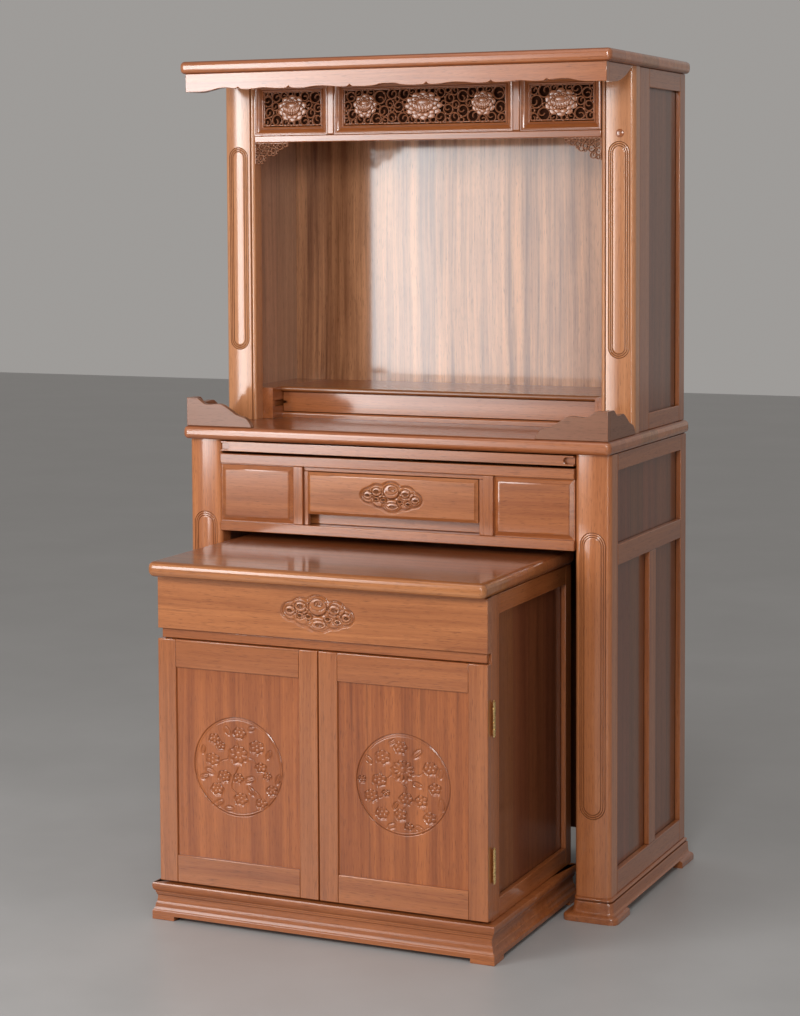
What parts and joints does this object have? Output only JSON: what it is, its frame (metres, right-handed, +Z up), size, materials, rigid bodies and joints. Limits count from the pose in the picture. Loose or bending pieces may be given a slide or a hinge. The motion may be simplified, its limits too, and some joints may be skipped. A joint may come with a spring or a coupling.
{
  "type": "household altar cabinet",
  "caption": "Carved hardwood altar cabinet: an open niche over a table, with a low cabinet of a drawer and doors that nests under it.",
  "frame": {"origin": "on the floor, at the middle of the footprint of the whole group, with the low cabinet pulled out", "axes": "+Z up, +Y to the back, +X to the right as seen from the front"},
  "size_m": [1.101, 0.97, 1.93],
  "materials": {
    "cabinet_wood": "satin lacquer",
    "panel_wood": "gloss lacquer",
    "carved_wood": "satin lacquer",
    "hinge_brass": "polished"
  },
  "bodies": {
    "cabinet": {"crown_board": "cabinet_wood", "crown_valance": "cabinet_wood", "crown_return_left": "cabinet_wood", "crown_return_right": "cabinet_wood", "upper_post_left": "cabinet_wood", "upper_post_right": "cabinet_wood", "upper_side_left": "cabinet_wood", "upper_side_right": "cabinet_wood", "niche_back": "panel_wood", "niche_floor": "cabinet_wood", "niche_foot_rail": "cabinet_wood", "niche_cheek_left": "cabinet_wood", "niche_cheek_right": "cabinet_wood", "frieze_frame": "cabinet_wood", "frieze_rail": "cabinet_wood", "fretwork_left": "carved_wood", "fretwork_centre": "carved_wood", "fretwork_right": "carved_wood", "spandrel_left": "carved_wood", "spandrel_right": "carved_wood", "table_board": "cabinet_wood", "guard_front_left": "cabinet_wood", "guard_front_right": "cabinet_wood", "guard_side_left": "cabinet_wood", "guard_side_right": "cabinet_wood", "column_left": "cabinet_wood", "column_right": "cabinet_wood", "lower_side_left": "cabinet_wood", "lower_side_right": "cabinet_wood", "plinth_left": "cabinet_wood", "plinth_right": "cabinet_wood", "recess_back": "panel_wood", "apron_top_rail": "cabinet_wood", "apron_bottom_rail": "cabinet_wood", "apron_stile_left": "cabinet_wood", "apron_stile_right": "cabinet_wood", "apron_panel_left": "cabinet_wood", "apron_panel_right": "cabinet_wood", "drawer_rail": "cabinet_wood", "recess_ceiling": "cabinet_wood", "small_top": "cabinet_wood", "small_side_left": "cabinet_wood", "small_side_right": "cabinet_wood", "small_back": "panel_wood", "small_bottom": "cabinet_wood", "small_divider": "cabinet_wood", "small_base": "cabinet_wood"},
    "niche_tray": {"niche_tray": "cabinet_wood"},
    "pullout_board": {"pullout_board": "cabinet_wood"},
    "table_drawer": {"table_drawer": "cabinet_wood"},
    "small_drawer": {"small_drawer": "cabinet_wood"},
    "door_left": {"door_frame_left": "cabinet_wood", "door_panel_left": "carved_wood", "hinge_upper_left": "hinge_brass", "hinge_lower_left": "hinge_brass"},
    "door_right": {"door_frame_right": "cabinet_wood", "door_panel_right": "carved_wood", "hinge_upper_right": "hinge_brass", "hinge_lower_right": "hinge_brass"}
  },
  "joints": [
    {"name": "niche_tray_slide", "type": "slide", "parent": "cabinet", "child": "niche_tray", "axis": [0, -1, 0], "range_m": [0, 0.18]},
    {"name": "pullout_board_slide", "type": "slide", "parent": "cabinet", "child": "pullout_board", "axis": [0, -1, 0], "range_m": [0, 0.3]},
    {"name": "table_drawer_slide", "type": "slide", "parent": "cabinet", "child": "table_drawer", "axis": [0, -1, 0], "range_m": [0, 0.3]},
    {"name": "small_drawer_slide", "type": "slide", "parent": "cabinet", "child": "small_drawer", "axis": [0, -1, 0], "range_m": [0, 0.3]},
    {"name": "door_left_hinge", "type": "hinge", "parent": "cabinet", "child": "door_left", "pos_m": [-0.4081, -0.428, 0.0885], "axis": [0, 0, -1], "range_deg": [0, 165]},
    {"name": "door_right_hinge", "type": "hinge", "parent": "cabinet", "child": "door_right", "pos_m": [0.3911, -0.428, 0.0885], "axis": [0, 0, 1], "range_deg": [0, 165]}
  ]
}
